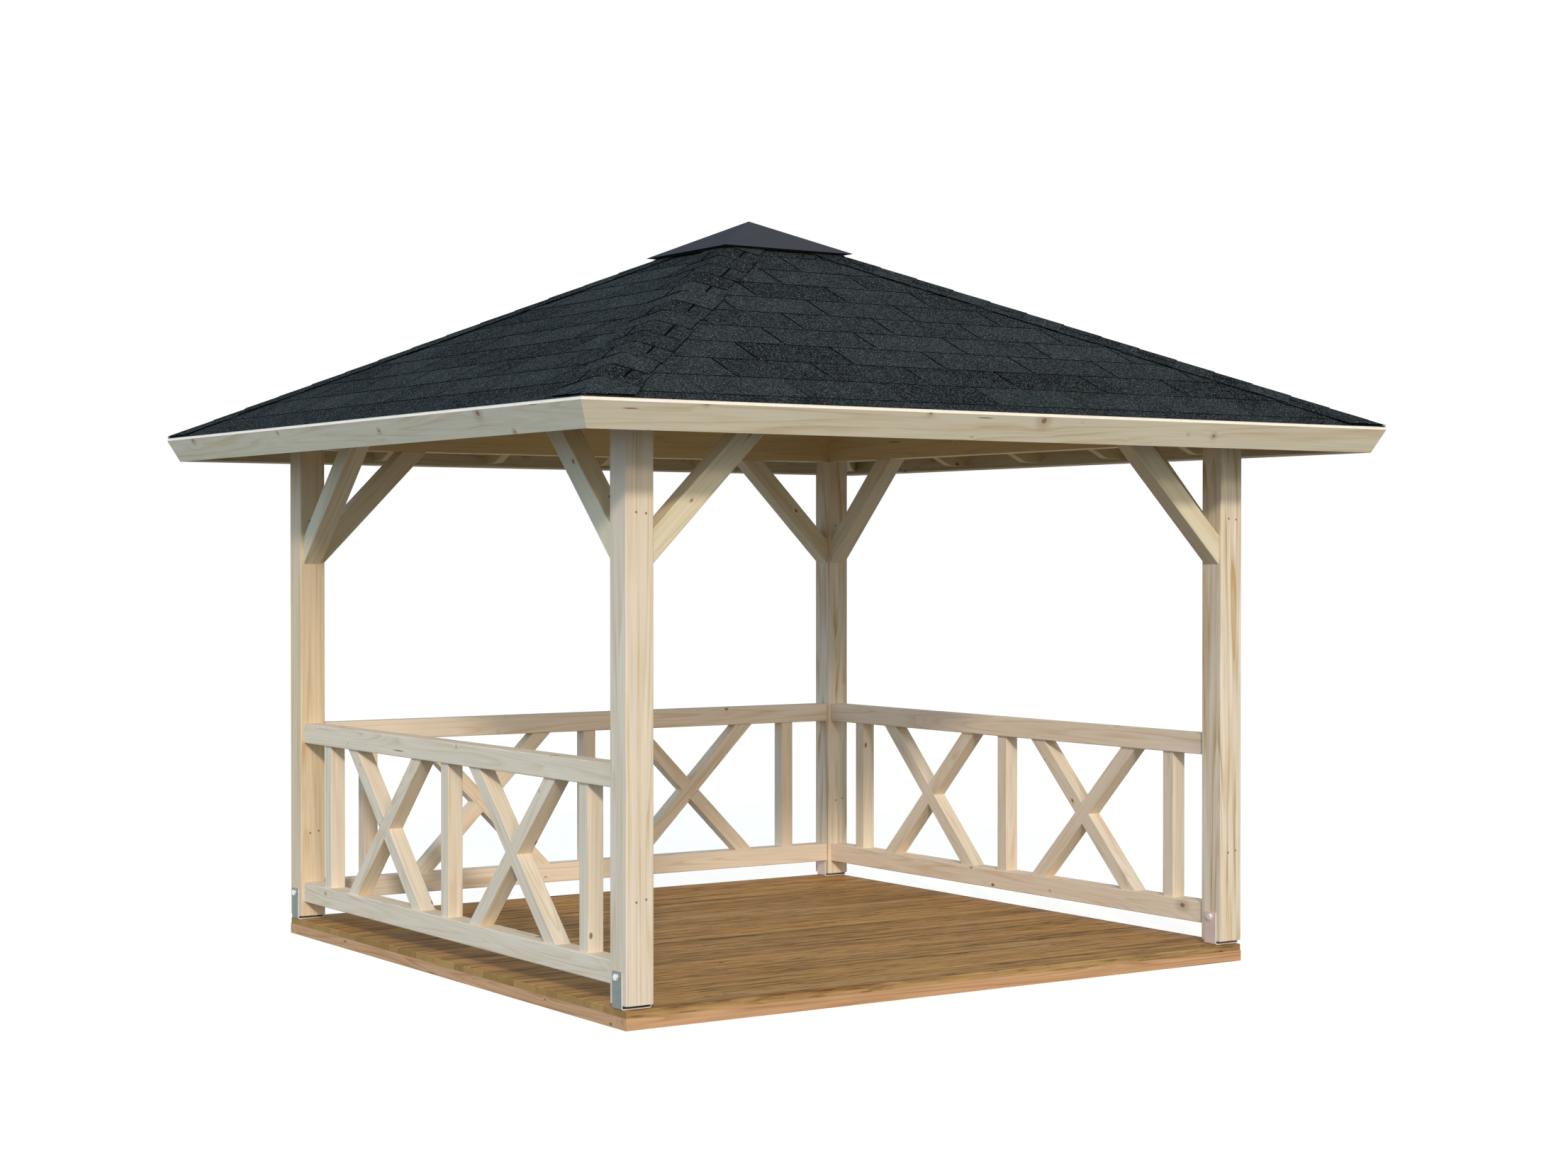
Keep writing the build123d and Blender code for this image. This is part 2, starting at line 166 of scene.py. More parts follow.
# Floor frame
# Two sawn pine bearers lie on the ground with nine joists nailed between them.
# They are the reddest timber of the gazebo, being treated against rot.
def timber(name, grain, pale, late, knot, lines=17.0, stretch=0.035, strength=0.48,
           knots=1.0, roughness=0.62, tones=0.0, folded=False, shift=None, marks=None,
           through=(1.0, 1.0), places=(), bands=0.0, gloss=0.3):
    """Planed or sawn softwood, whose colours are for spring wood, late wood and knots.

    The year rings are contours of a noise that is stretched along the grain,
    and they bend round the knots. Where two grain directions are given, the
    first holds for parts that lie further out along y than along x. folded
    reads the distance from the middle of the gazebo, for pieces that repeat on
    both sides of it. shift moves the pattern from part to part, tones is how
    much their tone differs, and marks adds knots of its own. through shortens
    the two directions across the grain, so that knots run through the
    thickness. places holds the place, radius and length of known knots, and
    bands is how strong the broad bands and flecks of a floorboard are."""
    wood = bare_material(name)
    where = add(wood, "ShaderNodeTexCoord").outputs["Object"]
    plain = where
    if folded:
        sides = add(wood, "ShaderNodeVectorMath", {0: where}, operation="SIGN").outputs[0]
        apart = add(wood, "ShaderNodeVectorMath", {
            0: sides, 1: (3.1, 5.7, 0.0)}, operation="MULTIPLY").outputs[0]
        where = add(wood, "ShaderNodeVectorMath", {0: where}, operation="ABSOLUTE").outputs[0]
        where = add(wood, "ShaderNodeVectorMath", {0: where, 1: apart}).outputs[0]
    if shift:
        moved = shift(wood, plain)
        where = add(wood, "ShaderNodeVectorMath", {0: where, 1: moved}).outputs[0]
    turned = []
    for direction in grain:
        turn = Vector(direction).normalized().rotation_difference(Vector((0, 0, 1)))
        turned.append(add(wood, "ShaderNodeMapping", {
            "Vector": where, "Rotation": turn.to_euler("XYZ")}).outputs[0])
    if len(turned) == 2:
        sizes = add(wood, "ShaderNodeVectorMath", {0: plain}, operation="ABSOLUTE").outputs[0]
        parts = add(wood, "ShaderNodeSeparateXYZ", {0: sizes}).outputs
        across = add(wood, "ShaderNodeMath", {0: parts[1], 1: parts[0]},
                     operation="GREATER_THAN").outputs[0]
        where = add(wood, "ShaderNodeMix", {0: across, 4: turned[1], 5: turned[0]},
                    data_type="VECTOR").outputs[1]
    else:
        where = turned[0]

    # Broad tone: heartwood and sapwood, 45 mm across and half a metre long.
    wide = add(wood, "ShaderNodeVectorMath", {0: where, 1: (1.0, 1.0, 0.09)},
               operation="MULTIPLY").outputs[0]
    heart = add(wood, "ShaderNodeTexNoise", {
        "Vector": wide, "Scale": 22.0, "Detail": 2.0, "Roughness": 0.5}).outputs[0]
    # Knots: branches 10 to 20 mm thick, one or two in each metre.
    spread = add(wood, "ShaderNodeVectorMath", {0: where, 1: (*through, 0.6)},
                 operation="MULTIPLY").outputs[0]
    branch = add(wood, "ShaderNodeTexVoronoi", {
        "Vector": spread, "Scale": 8.0, "Randomness": 1.0}).outputs["Distance"]
    bend = add(wood, "ShaderNodeMapRange", {
        0: branch, 1: 0.0, 2: 0.2, 3: 0.055 * knots, 4: 0.0},
        interpolation_type="SMOOTHERSTEP").outputs[0]
    known = None
    for point, radius, length in places:
        # A place of 0 is the depth that a knot runs through, and length draws it out.
        squeeze = [1 / length if axis else 1.0 for axis in grain[0]]
        squeeze = [k if c else 0.0 for k, c in zip(squeeze, point)]
        flat = add(wood, "ShaderNodeVectorMath", {0: plain, 1: squeeze},
                   operation="MULTIPLY").outputs[0]
        centre = [k * c for k, c in zip(squeeze, point)]
        away = add(wood, "ShaderNodeVectorMath", {0: flat, 1: centre},
                   operation="DISTANCE").outputs["Value"]
        spot = add(wood, "ShaderNodeMapRange", {
            0: away, 1: 0.45 * radius, 2: radius, 3: 0.85, 4: 0.0},
            interpolation_type="SMOOTHSTEP").outputs[0]
        if length < 3:
            ringed = add(wood, "ShaderNodeMapRange", {
                0: away, 1: radius, 2: 8.0 * radius, 3: 0.022, 4: 0.0},
                interpolation_type="SMOOTHSTEP").outputs[0]
            bend = add(wood, "ShaderNodeMath", {0: bend, 1: ringed}, operation="ADD").outputs[0]
            halo = add(wood, "ShaderNodeMapRange", {
                0: away, 1: 0.8 * radius, 2: 3.0 * radius, 3: 0.32, 4: 0.0},
                interpolation_type="SMOOTHSTEP").outputs[0]
            spot = add(wood, "ShaderNodeMath", {0: spot, 1: halo}, operation="MAXIMUM").outputs[0]
        known = spot if known is None else add(wood, "ShaderNodeMath", {
            0: known, 1: spot}, operation="MAXIMUM").outputs[0]
    # Rings: swells 110 mm across and some metres long, cut in contours that
    # come out 6 to 20 mm apart. Each ends in a thin line of summer wood.
    long = add(wood, "ShaderNodeVectorMath", {0: where, 1: (1.0, 1.0, stretch)},
               operation="MULTIPLY").outputs[0]
    swell = add(wood, "ShaderNodeTexNoise", {
        "Vector": long, "Scale": 9.0, "Detail": 1.5, "Roughness": 0.4}).outputs[0]
    phase = add(wood, "ShaderNodeMath", {0: swell, 1: bend}, operation="ADD").outputs[0]
    phase = add(wood, "ShaderNodeMath", {0: phase, 1: lines}, operation="MULTIPLY").outputs[0]
    ring = add(wood, "ShaderNodeMath", {0: phase}, operation="FRACT").outputs[0]
    rise = add(wood, "ShaderNodeMapRange", {0: ring, 1: 0.45, 2: 0.93, 3: 0.0, 4: 1.0},
               interpolation_type="SMOOTHSTEP").outputs[0]
    drop = add(wood, "ShaderNodeMapRange", {0: ring, 1: 0.93, 2: 1.0, 3: 1.0, 4: 0.0}).outputs[0]
    summer = add(wood, "ShaderNodeMath", {0: rise, 1: drop}, operation="MULTIPLY").outputs[0]
    # Between them lie two fainter rings, 2 to 7 mm apart.
    faint = add(wood, "ShaderNodeMath", {0: phase, 1: 3.0}, operation="MULTIPLY").outputs[0]
    faint = add(wood, "ShaderNodeMath", {0: faint, 1: 1.0}, operation="PINGPONG").outputs[0]
    faint = add(wood, "ShaderNodeMapRange", {0: faint, 1: 0.45, 2: 1.0, 3: 0.0, 4: 0.42},
                interpolation_type="SMOOTHSTEP").outputs[0]
    summer = add(wood, "ShaderNodeMath", {0: summer, 1: faint}, operation="MAXIMUM").outputs[0]
    amount = add(wood, "ShaderNodeMapRange", {
        0: heart, 1: 0.38, 2: 0.68, 3: 0.3 * strength, 4: strength}).outputs[0]
    amount = add(wood, "ShaderNodeMath", {0: summer, 1: amount}, operation="MULTIPLY").outputs[0]
    tint = add(wood, "ShaderNodeMix", {0: amount, 6: linear(pale), 7: linear(late)},
               data_type="RGBA").outputs[2]
    # Fibres: streaks about 4 mm wide, drawn coarser than real so that they show.
    fine = add(wood, "ShaderNodeVectorMath", {0: where, 1: (1.0, 1.0, 0.015)},
               operation="MULTIPLY").outputs[0]
    fibre = add(wood, "ShaderNodeTexNoise", {
        "Vector": fine, "Scale": 200.0, "Detail": 3.0, "Roughness": 0.6}).outputs[0]
    streak = add(wood, "ShaderNodeMapRange", {
        0: fibre, 1: 0.25, 2: 0.75, 3: 1.0 - 0.16 * strength, 4: 1.0 + 0.11 * strength}).outputs[0]
    sap = add(wood, "ShaderNodeMapRange", {
        0: heart, 1: 0.25, 2: 0.75, 3: 1.0 + 0.06 * strength, 4: 1.0 - 0.10 * strength}).outputs[0]
    value = add(wood, "ShaderNodeMath", {0: streak, 1: sap}, operation="MULTIPLY").outputs[0]
    if tones:
        own = add(wood, "ShaderNodeAttribute", attribute_name="own_number").outputs["Fac"]
        own = add(wood, "ShaderNodeMapRange", {0: own, 3: 1.0 - tones, 4: 1.0 + tones}).outputs[0]
        value = add(wood, "ShaderNodeMath", {0: value, 1: own}, operation="MULTIPLY").outputs[0]
    warm = add(wood, "ShaderNodeMath", {
        0: value, 1: 1.12, 2: -0.12}, operation="MULTIPLY_ADD").outputs[0]
    value = add(wood, "ShaderNodeCombineColor", {0: value, 1: value, 2: warm}).outputs[0]
    tint = add(wood, "ShaderNodeMix", {0: 1.0, 6: tint, 7: value},
               data_type="RGBA", blend_type="MULTIPLY").outputs[2]
    if bands:
        # Bands: 20 to 40 mm wide and about a metre long, dark, red or worn pale.
        band = add(wood, "ShaderNodeVectorMath", {0: where, 1: (1.0, 1.0, 0.03)},
                   operation="MULTIPLY").outputs[0]
        band = add(wood, "ShaderNodeTexNoise", {
            "Vector": band, "Scale": 24.0, "Detail": 5.0, "Roughness": 0.66}).outputs
        dark = add(wood, "ShaderNodeMapRange", {
            0: band[0], 1: 0.5, 2: 0.66, 3: 0.0, 4: 0.8 * bands}).outputs[0]
        tint = add(wood, "ShaderNodeMix", {0: dark, 6: tint, 7: linear(knot)},
                   data_type="RGBA").outputs[2]
        red = add(wood, "ShaderNodeSeparateColor", {0: band[1]}).outputs[1]
        red = add(wood, "ShaderNodeMapRange", {
            0: red, 1: 0.55, 2: 0.7, 3: 0.0, 4: 0.6 * bands}).outputs[0]
        tint = add(wood, "ShaderNodeMix", {0: red, 6: tint, 7: linear("#A5602F")},
                   data_type="RGBA").outputs[2]
        worn = add(wood, "ShaderNodeMapRange", {
            0: band[0], 1: 0.36, 2: 0.47, 3: 0.6 * bands, 4: 0.0}).outputs[0]
        tint = add(wood, "ShaderNodeMix", {0: worn, 6: tint, 7: linear("#C9A57A")},
                   data_type="RGBA").outputs[2]
        # Flecks of torn grain: pale and dark dashes about 10 mm wide, 140 mm long.
        fleck = add(wood, "ShaderNodeVectorMath", {0: where, 1: (1.0, 1.0, 0.10)},
                    operation="MULTIPLY").outputs[0]
        fleck = add(wood, "ShaderNodeTexNoise", {
            "Vector": fleck, "Scale": 70.0, "Detail": 3.0, "Roughness": 0.6}).outputs[0]
        light = add(wood, "ShaderNodeMapRange", {
            0: fleck, 1: 0.34, 2: 0.46, 3: 0.7 * bands, 4: 0.0}).outputs[0]
        tint = add(wood, "ShaderNodeMix", {0: light, 6: tint, 7: linear("#CBA36C")},
                   data_type="RGBA").outputs[2]
        dark = add(wood, "ShaderNodeMapRange", {
            0: fleck, 1: 0.55, 2: 0.7, 3: 0.0, 4: 0.9 * bands}).outputs[0]
        tint = add(wood, "ShaderNodeMix", {0: dark, 6: tint, 7: linear(knot)},
                   data_type="RGBA").outputs[2]
    # Pitch pockets: thin brown dashes along the grain, 3 mm wide.
    dash = add(wood, "ShaderNodeVectorMath", {0: where, 1: (1.0, 1.0, 0.07)},
               operation="MULTIPLY").outputs[0]
    pocket = add(wood, "ShaderNodeTexVoronoi", {
        "Vector": dash, "Scale": 11.0, "Randomness": 1.0}).outputs["Distance"]
    pocket = add(wood, "ShaderNodeMapRange", {
        0: pocket, 1: 0.025, 2: 0.06, 3: 0.75 * knots, 4: 0.0},
        interpolation_type="SMOOTHSTEP").outputs[0]
    core = add(wood, "ShaderNodeMapRange", {
        0: branch, 1: 0.04, 2: 0.08, 3: 0.85 * knots, 4: 0.0},
        interpolation_type="SMOOTHSTEP").outputs[0]
    brown = add(wood, "ShaderNodeMath", {0: pocket, 1: core}, operation="MAXIMUM").outputs[0]
    if known:
        brown = add(wood, "ShaderNodeMath", {0: brown, 1: known}, operation="MAXIMUM").outputs[0]
    if marks:
        brown = add(wood, "ShaderNodeMath", {
            0: brown, 1: marks(wood, plain)}, operation="MAXIMUM").outputs[0]
    tint = add(wood, "ShaderNodeMix", {0: brown, 6: tint, 7: linear(knot)},
               data_type="RGBA").outputs[2]
    relief = add(wood, "ShaderNodeMath", {0: summer, 1: 0.5, 2: fibre},
                 operation="MULTIPLY_ADD").outputs[0]
    bump = add(wood, "ShaderNodeBump", {
        "Height": relief, "Strength": 0.25, "Distance": 0.0006}).outputs[0]
    dull = add(wood, "ShaderNodeMapRange", {
        0: summer, 1: 0.0, 2: 1.0, 3: roughness + 0.06, 4: roughness - 0.06}).outputs[0]
    surface = add(wood, "ShaderNodeBsdfPrincipled", {
        "Base Color": tint, "Roughness": dull, "Normal": bump,
        "IOR": 1.5, "Specular IOR Level": gloss})
    add(wood, "ShaderNodeOutputMaterial", {"Surface": surface.outputs[0]})
    return wood


def finish_nodes(material, *names):
    """Gives CAD parts whose shape is right their real finish."""
    for name in names:
        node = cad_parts[name]
        node.data.materials.clear()
        node.data.materials.append(material)


ALONG_X, ALONG_Y, ALONG_Z = (1, 0, 0), (0, 1, 0), (0, 0, 1)

# Pressure treated pine, sawn: warm red brown, with broad darker year rings.
bearer_colours = ("#D2A67C", "#AC7A4E", "#6E4326")
bearers = {
    "along x": (ALONG_X, ("floor_bearer_front", "floor_bearer_back")),
    "along y": (ALONG_Y, ("floor_joists",)),
}
for way, (grain, names) in bearers.items():
    finish_nodes(timber(f"treated pine bearer, {way}", [grain], *bearer_colours,
                        lines=13.0, stretch=0.06, strength=0.95), *names)


# Floor deck
# Planed pine floorboards, tongued and grooved, nailed across the joists with
# their long edges slightly eased. Each board has its own figure and tone.
def board_shift(material, place):
    """Moves the pattern by the board's own number, so that no two are alike."""
    own = add(material, "ShaderNodeAttribute", attribute_name="own_number").outputs["Fac"]
    step = add(material, "ShaderNodeCombineXYZ", {0: own, 1: own, 2: own}).outputs[0]
    return add(material, "ShaderNodeVectorMath", {0: step, 1: (13.0, 7.0, 19.0)},
               operation="MULTIPLY").outputs[0]


def number_faces(piece, value):
    """Writes one piece's own number on its faces."""
    mark = piece.data.attributes.get("own_number") or piece.data.attributes.new(
        "own_number", "FLOAT", "FACE")
    mark.data.foreach_set("value", [value] * len(piece.data.polygons))


def edges_chosen(piece, test, direction=None):
    """Selects the edges whose two ends both pass the test, in edit mode. Where
    a direction is given, only the edges that run along it."""
    bpy.ops.object.mode_set(mode="EDIT")
    bpy.ops.mesh.select_mode(type="EDGE")
    bpy.ops.mesh.select_all(action="DESELECT")
    bpy.ops.object.mode_set(mode="OBJECT")
    for edge in piece.data.edges:
        ends = [piece.data.vertices[i].co for i in edge.vertices]
        run = (ends[1] - ends[0]).normalized()
        edge.select = all(test(end) for end in ends) and (
            direction is None or abs(run.dot(Vector(direction))) > 0.99)
    bpy.ops.object.mode_set(mode="EDIT")


def place_copy(piece, offset, value):
    """A copy of a piece with its own mesh, moved and numbered."""
    twin = piece.copy()
    twin.data = piece.data.copy()
    bpy.context.collection.objects.link(twin)
    twin.location = offset
    number_faces(twin, value)
    return twin


def join_pieces(parts, name):
    """Joins copies into one piece that sits at the origin."""
    bpy.ops.object.select_all(action="DESELECT")
    for part in parts:
        part.select_set(True)
    bpy.context.view_layer.objects.active = parts[0]
    bpy.ops.object.join()
    whole = bpy.context.object
    whole.name = whole.data.name = name
    bpy.ops.object.transform_apply(location=True, rotation=True, scale=True)
    return whole


chance = random.Random(11)
deck_low, deck_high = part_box("floor_deck")
deck_rows, deck_gap, deck_easing = 35, 0.0012, 0.003
deck_step = (deck_high.y - deck_low.y) / deck_rows
bpy.ops.object.select_all(action="DESELECT")
bpy.ops.mesh.primitive_cube_add(size=1, location=(0, 0, 0), scale=(
    deck_high.x - deck_low.x, deck_step - deck_gap, deck_high.z - deck_low.z))
first_board = bpy.context.object
bpy.ops.object.transform_apply(location=True, rotation=True, scale=True)
edges_chosen(first_board, lambda p: p.z > 0)
bpy.ops.mesh.bevel(offset=deck_easing, segments=2)
bpy.ops.object.mode_set(mode="OBJECT")
# The board at the open front is one of the darker ones.
rows = [
    place_copy(first_board, (
        (deck_low.x + deck_high.x) / 2,
        deck_low.y + deck_step * (row + 0.5),
        (deck_low.z + deck_high.z) / 2), chance.random() * (1.0 if row else 0.4))
    for row in range(deck_rows)
]
bpy.data.objects.remove(first_board)
deck = join_pieces(rows, "deck_boards")
# Treated pine that has been walked on: golden brown, with dark bands and torn
# flecks. The sawn ends are duller, and the planed edges a little paler.
deck.data.materials.append(timber(
    "treated pine floorboard", [ALONG_X], "#C59857", "#8A612E", "#35210F",
    lines=20.0, stretch=0.05, strength=0.95, roughness=0.6, tones=0.2, shift=board_shift,
    bands=0.95, gloss=0.1))
deck.data.materials.append(timber(
    "sawn end of a pine floorboard", [ALONG_X], "#B08C58", "#946E3D", "#5A3D1E",
    lines=20.0, strength=0.5, knots=0.0, roughness=0.8, tones=0.2, shift=board_shift, gloss=0.1))
deck.data.materials.append(timber(
    "planed edge of a pine floorboard", [ALONG_X], "#C9A670", "#9A7847", "#4E351B",
    lines=20.0, stretch=0.05, strength=0.8, roughness=0.7, tones=0.17, shift=board_shift,
    bands=0.7, gloss=0.1))
for face in deck.data.polygons:
    sawn, planed = (abs(part) > 0.9 for part in face.normal[:2])
    face.material_index = 1 if sawn else 2 if planed else 0
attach(deck, "root")
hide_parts("floor_deck")


# Post shoes
# Each post stands clear of the deck in a U of hot dip galvanised strip, held
# by one through bolt. The zinc is dull blue grey, with a faint spangle.
zinc = bare_material("hot dip galvanised strip")
where = add(zinc, "ShaderNodeTexCoord").outputs["Object"]
# Spangle: zinc crystals 8 mm across, drawn at that size.
spangle = add(zinc, "ShaderNodeTexVoronoi", {"Vector": where, "Scale": 125.0}).outputs["Color"]
crystal = add(zinc, "ShaderNodeSeparateColor", {0: spangle}).outputs[0]
cloud = add(zinc, "ShaderNodeTexNoise", {
    "Vector": where, "Scale": 14.0, "Detail": 3.0}).outputs[0]
mottle = add(zinc, "ShaderNodeMath", {
    0: crystal, 1: 0.35, 2: cloud}, operation="MULTIPLY_ADD").outputs[0]
mottle = add(zinc, "ShaderNodeMapRange", {0: mottle, 1: 0.3, 2: 1.1, 3: 0.0, 4: 1.0}).outputs[0]
tint = add(zinc, "ShaderNodeMix", {0: mottle, 6: linear("#778281"), 7: linear("#929B99")},
           data_type="RGBA").outputs[2]
dull = add(zinc, "ShaderNodeMapRange", {0: mottle, 1: 0.0, 2: 1.0, 3: 0.42, 4: 0.58}).outputs[0]
bump = add(zinc, "ShaderNodeBump", {
    "Height": cloud, "Strength": 0.15, "Distance": 0.0005}).outputs[0]
surface = add(zinc, "ShaderNodeBsdfPrincipled", {
    "Base Color": tint, "Metallic": 0.6, "Roughness": dull, "Normal": bump})
add(zinc, "ShaderNodeOutputMaterial", {"Surface": surface.outputs[0]})


def clouded_zinc(name, cloud_scale, detail, dark, light, metallic, smooth, rough):
    """Zinc whose tone and gloss drift in clouds, smooth where they are dark."""
    skin = bare_material(name)
    place = add(skin, "ShaderNodeTexCoord").outputs["Object"]
    drift = add(skin, "ShaderNodeTexNoise", {
        "Vector": place, "Scale": cloud_scale, "Detail": detail}).outputs[0]
    colour = add(skin, "ShaderNodeMix", {0: drift, 6: linear(dark), 7: linear(light)},
                 data_type="RGBA").outputs[2]
    gloss = add(skin, "ShaderNodeMapRange", {
        0: drift, 1: 0.3, 2: 0.7, 3: smooth, 4: rough}).outputs[0]
    metal = add(skin, "ShaderNodeBsdfPrincipled", {
        "Base Color": colour, "Metallic": metallic, "Roughness": gloss})
    add(skin, "ShaderNodeOutputMaterial", {"Surface": metal.outputs[0]})
    return skin


# The right hand shoes' zinc is painted paler and warmer but still bright, a painted reflection of
# the warm wood around them, with clouds 70 mm across.
zinc_painted_warm_reflection = clouded_zinc("galvanised strip with painted warm reflection", 14.0, 3.0, "#DCC7C0", "#EAD9D2",
                         metallic=0.25, smooth=0.45, rough=0.55)

# The strip's front and back edges are painted near white, a painted highlight where their rounding
# catches the lamps.
edge_zinc_highlight = bare_material("painted highlight on the edge of a zinc strip")
where = add(edge_zinc_highlight, "ShaderNodeTexCoord").outputs["Object"]
runs = add(edge_zinc_highlight, "ShaderNodeTexNoise", {
    "Vector": where, "Scale": 60.0, "Detail": 3.0}).outputs[0]
tint = add(edge_zinc_highlight, "ShaderNodeMix", {0: runs, 6: linear("#D9D5D0"), 7: linear("#F0ECE7")},
           data_type="RGBA").outputs[2]
surface = add(edge_zinc_highlight, "ShaderNodeBsdfPrincipled", {
    "Base Color": tint, "Metallic": 0.15, "Roughness": 0.45, "Specular IOR Level": 0.5})
add(edge_zinc_highlight, "ShaderNodeOutputMaterial", {"Surface": surface.outputs[0]})


def eased_copy(node, name, width, finish, chamfer=0.0, arris=None):
    """Copies a CAD part with its sharp edges eased by so many metres, and with
    a wider chamfer on the arris that a test picks."""
    bpy.ops.object.select_all(action="DESELECT")
    twin = bpy.data.objects.new(name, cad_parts[node].data.copy())
    bpy.context.collection.objects.link(twin)
    twin.select_set(True)
    bpy.context.view_layer.objects.active = twin
    bpy.ops.mesh.customdata_custom_splitnormals_clear()
    bpy.ops.object.mode_set(mode="EDIT")
    bpy.ops.mesh.select_all(action="SELECT")
    bpy.ops.mesh.remove_doubles(threshold=0.00002)
    bpy.ops.mesh.dissolve_limited(angle_limit=math.radians(0.5))
    bpy.ops.object.mode_set(mode="OBJECT")
    if arris:
        edges_chosen(twin, arris)
        bpy.ops.mesh.bevel(offset=chamfer, segments=1)
        bpy.ops.object.mode_set(mode="OBJECT")
    ease = twin.modifiers.new("eased edges", "BEVEL")
    ease.width = width
    ease.segments = 2
    ease.limit_method = "ANGLE"
    ease.angle_limit = math.radians(35)
    bpy.ops.object.modifier_apply(modifier="eased edges")
    bpy.ops.object.shade_flat()
    twin.data.materials.clear()
    twin.data.materials.append(finish)
    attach(twin, "root")
    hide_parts(node)
    return twin


corners = {
    "front_left": (-1, -1), "front_right": (1, -1), "back_left": (-1, 1), "back_right": (1, 1)}
shoe_easing = 0.0009
for corner in corners:
    strip = zinc_painted_warm_reflection if corner.endswith("right") else zinc
    shoe = eased_copy(
        f"post_shoe_{corner}", f"eased_shoe_{corner}", shoe_easing, strip)
    shoe.data.materials.append(edge_zinc_highlight)
    # Faces that look along y, the strip's edges, take the painted highlight.
    for face in shoe.data.polygons:
        face.material_index = 1 if abs(face.normal.y) > 0.9 else 0

# Bright zinc plated bolt and nut: smooth and shiny, so they glint, and their near white tone is a
# painted glint on top. They have a haze of spots 6 mm across.
bolt_zinc_painted_glint = clouded_zinc("bright zinc plated bolt", 180.0, 2.0, "#F1F1EE", "#FBFAF8",
                           metallic=0.35, smooth=0.2, rough=0.34)
across_flats, hexagon_chamfer, tail_chamfer = 0.024, 0.0016, 0.001
head_depth, nut_depth = 0.010, 0.013
tail_radius, tail_length = 0.0078, 0.018
bolt_z = 0.193


def hexagon(depth, name, place, side):
    """A hexagon head or nut, chamfered, that stands on a plane across x."""
    bpy.ops.object.select_all(action="DESELECT")
    bpy.ops.mesh.primitive_cylinder_add(
        vertices=6, radius=across_flats / 2 / math.cos(math.pi / 6), depth=depth,
        location=(place[0] + side * depth / 2, place[1], place[2]),
        rotation=(0, side * math.pi / 2, 0))
    part = bpy.context.object
    part.name = name
    bpy.ops.object.transform_apply(location=True, rotation=True, scale=True)
    outer = place[0] + side * depth
    edges_chosen(part, lambda p: abs(p.x - outer) < 1e-5)
    bpy.ops.mesh.bevel(offset=hexagon_chamfer, segments=2)
    bpy.ops.mesh.inset(thickness=hexagon_chamfer)
    bpy.ops.object.mode_set(mode="OBJECT")
    return part


# At a back post the balustrade's rail covers one end of the bolt.
for corner in corners:
    shoe_low, shoe_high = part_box(f"post_shoe_{corner}")
    axis_y = (shoe_low.y + shoe_high.y) / 2
    parts = []
    if corner != "back_right":
        parts.append(hexagon(head_depth, "head", (shoe_low.x, axis_y, bolt_z), -1))
    if corner != "back_left":
        parts.append(hexagon(nut_depth, "nut", (shoe_high.x, axis_y, bolt_z), 1))
        bpy.ops.mesh.primitive_cylinder_add(
            vertices=20, radius=tail_radius, depth=tail_length,
            location=(shoe_high.x + tail_length / 2, axis_y, bolt_z),
            rotation=(0, math.pi / 2, 0))
        tail = bpy.context.object
        bpy.ops.object.transform_apply(location=True, rotation=True, scale=True)
        tip = shoe_high.x + tail_length
        edges_chosen(tail, lambda p: abs(p.x - tip) < 1e-5)
        bpy.ops.mesh.bevel(offset=tail_chamfer, segments=1)
        bpy.ops.object.mode_set(mode="OBJECT")
        parts.append(tail)
    bolt = join_pieces(parts, f"shoe_bolt_{corner}")
    bolt.data.materials.append(bolt_zinc_painted_glint)
    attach(bolt, "root")


# Posts
# Glued and planed spruce posts of three lamellae, with eased edges. The glue
# lines run the whole height, and each lamella has its own figure.
post_axis = 1.477
glue_lines = (-0.0168, 0.0288)


def lamella_shift(material, place):
    """Moves the pattern by which lamella of its post a point is in."""
    x = add(material, "ShaderNodeSeparateXYZ", {0: place}).outputs[0]
    side = add(material, "ShaderNodeMath", {0: x}, operation="SIGN").outputs[0]
    across = add(material, "ShaderNodeMath", {0: side, 1: -post_axis, 2: x},
                 operation="MULTIPLY_ADD").outputs[0]
    first = add(material, "ShaderNodeMath", {0: across, 1: glue_lines[0]},
                operation="GREATER_THAN").outputs[0]
    second = add(material, "ShaderNodeMath", {0: across, 1: glue_lines[1]},
                 operation="GREATER_THAN").outputs[0]
    count = add(material, "ShaderNodeMath", {0: first, 1: second}, operation="ADD").outputs[0]
    step = add(material, "ShaderNodeCombineXYZ", {0: count, 1: count, 2: count}).outputs[0]
    return add(material, "ShaderNodeVectorMath", {0: step, 1: (3.7, 1.9, 5.3)},
               operation="MULTIPLY").outputs[0]


# Where the pin knots are, across the post and up.
pin_knot_places = ((-0.0156, 1.909), (0.0264, 1.905), (-0.0156, 0.471), (0.0264, 0.479))


